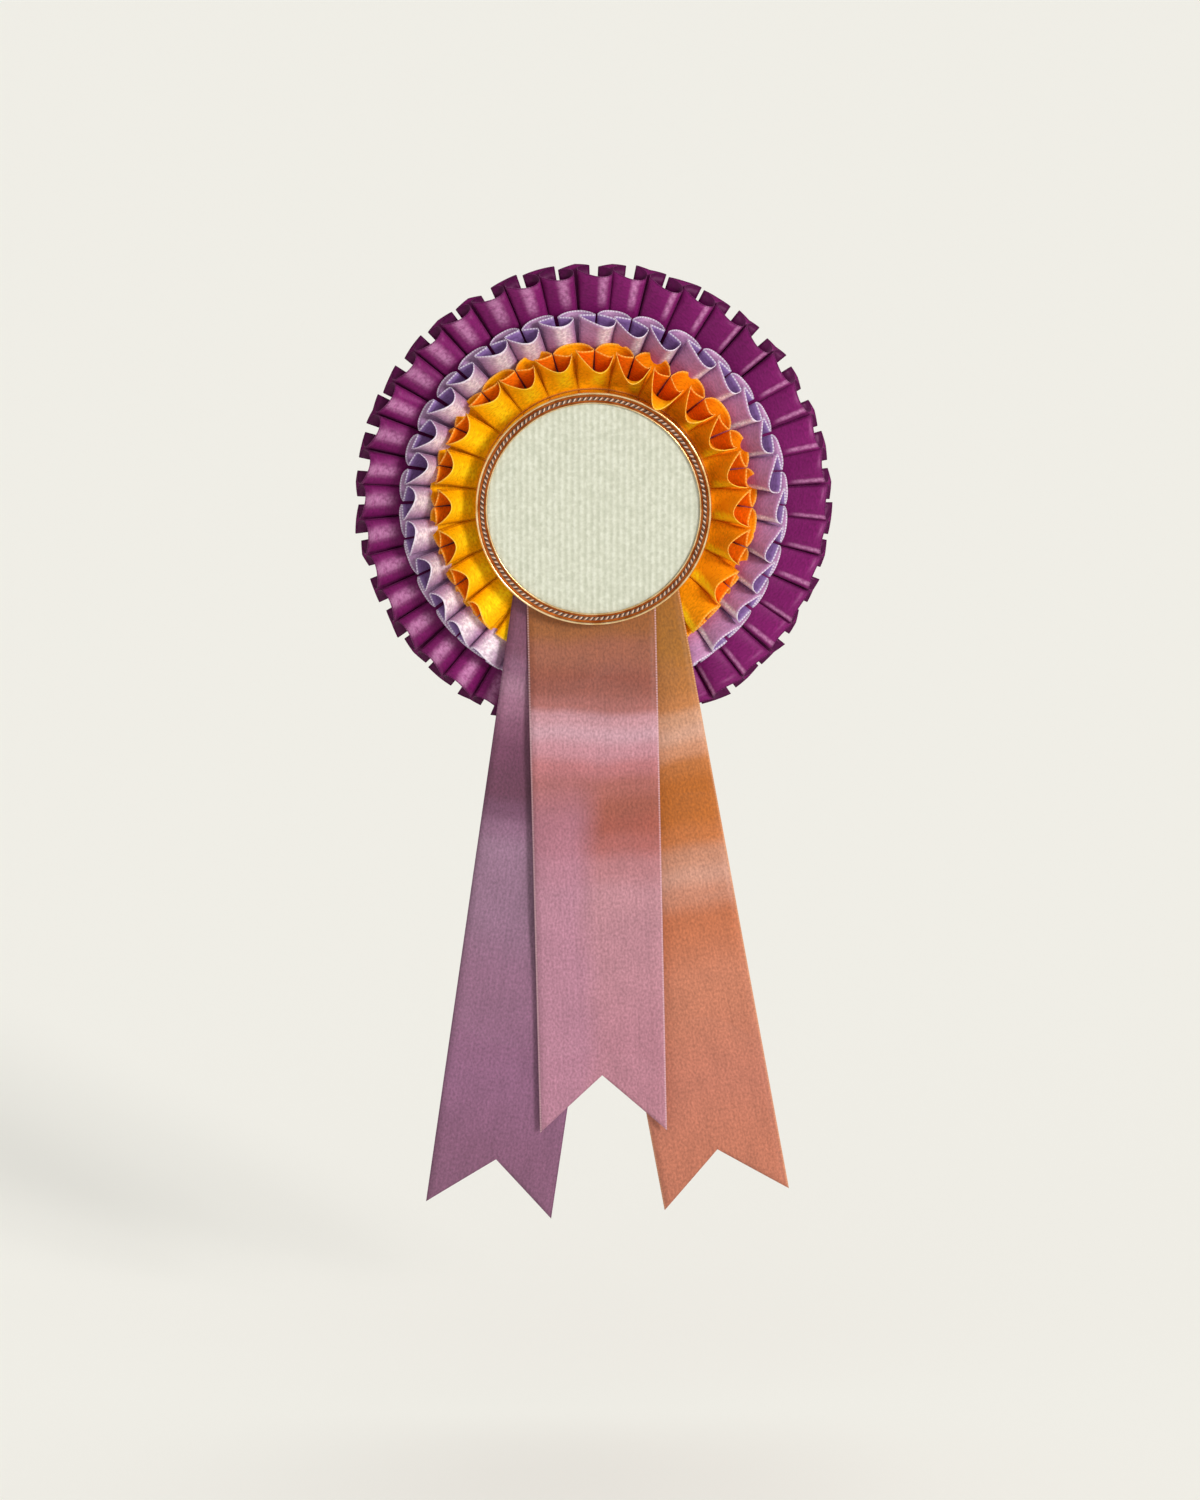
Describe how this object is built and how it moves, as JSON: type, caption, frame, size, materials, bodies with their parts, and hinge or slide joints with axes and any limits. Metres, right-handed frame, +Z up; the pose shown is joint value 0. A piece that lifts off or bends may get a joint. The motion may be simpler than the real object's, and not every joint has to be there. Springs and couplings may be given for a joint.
{
  "type": "award rosette",
  "caption": "Award rosette with box-pleated satin tiers, a corded round button with a plain face, swallowtail ribbons and a bar pin.",
  "frame": {"origin": "middle of the pin's needle, which holds the rosette to a garment", "axes": "+Z up as worn, -Y out of the face, +Y towards the garment, +X to the right seen from the front"},
  "size_m": [0.1408, 0.027, 0.2876],
  "materials": {
    "nickel": "satin nickel plate",
    "rivet_nickel": "satin nickel plate",
    "needle_steel": "polished wire",
    "catch_nickel": "bright nickel plate",
    "foam_tape": "white foam tape",
    "white_card": "uncoated white",
    "grey_board": "bare grey board",
    "purple_satin": "satin",
    "lilac_satin": "satin",
    "orange_satin": "satin",
    "purple_thread": "matt thread",
    "lilac_thread": "matt thread",
    "orange_thread": "matt thread",
    "coral_satin": "satin",
    "mauve_satin": "satin",
    "pink_satin": "satin",
    "staple_wire": "galvanised wire",
    "button_card": "uncoated",
    "cream_card": "laid, matt",
    "gold_ring": "bright gold",
    "gold_cord": "metallic thread"
  },
  "bodies": {
    "rosette": {"pin_bar": "nickel", "hinge_rivet": "rivet_nickel", "adhesive_pad": "foam_tape", "back_card": "white_card", "base_board": "grey_board", "middle_board": "grey_board", "inner_board": "grey_board", "outer_pleats": "purple_satin", "middle_pleats": "lilac_satin", "inner_pleats": "orange_satin", "outer_stitching": "purple_thread", "middle_stitching": "lilac_thread", "inner_stitching": "orange_thread", "right_tab": "coral_satin", "left_tab": "mauve_satin", "centre_tab": "pink_satin", "left_staple": "staple_wire", "right_staple": "staple_wire", "button_back": "button_card", "core_board": "grey_board", "face_card": "cream_card", "trim_ring": "gold_ring", "trim_cord": "gold_cord"},
    "needle": {"pin_needle": "needle_steel"},
    "catch": {"safety_catch": "catch_nickel"},
    "left_ribbon": {"left_tail": "mauve_satin"},
    "right_ribbon": {"right_tail": "coral_satin"},
    "centre_ribbon": {"centre_tail": "pink_satin"}
  },
  "joints": [
    {"name": "needle_hinge", "type": "hinge", "parent": "rosette", "child": "needle", "pos_m": [-0.0135, 0, 0], "axis": [0, 0, 1], "range_deg": [0, 110]},
    {"name": "catch_turn", "type": "hinge", "parent": "rosette", "child": "catch", "pos_m": [0.0126, 0, 0], "axis": [1, 0, 0], "range_deg": [0, 100]},
    {"name": "centre_tail_lift", "type": "hinge", "parent": "rosette", "child": "centre_ribbon", "pos_m": [0, -0.01629, -0.0508], "axis": [-1, 0, 0], "range_deg": [0, 60]},
    {"name": "left_tail_lift", "type": "hinge", "parent": "rosette", "child": "left_ribbon", "pos_m": [0, -0.01629, -0.0508], "axis": [-1, 0, 0], "range_deg": [0, 45]},
    {"name": "right_tail_lift", "type": "hinge", "parent": "rosette", "child": "right_ribbon", "pos_m": [0, -0.01629, -0.0508], "axis": [-1, 0, 0], "range_deg": [0, 45]}
  ],
  "couplings": [
    {"joint": "left_tail_lift", "follows": "centre_tail_lift", "ratio": 0.75},
    {"joint": "right_tail_lift", "follows": "centre_tail_lift", "ratio": 0.75}
  ]
}
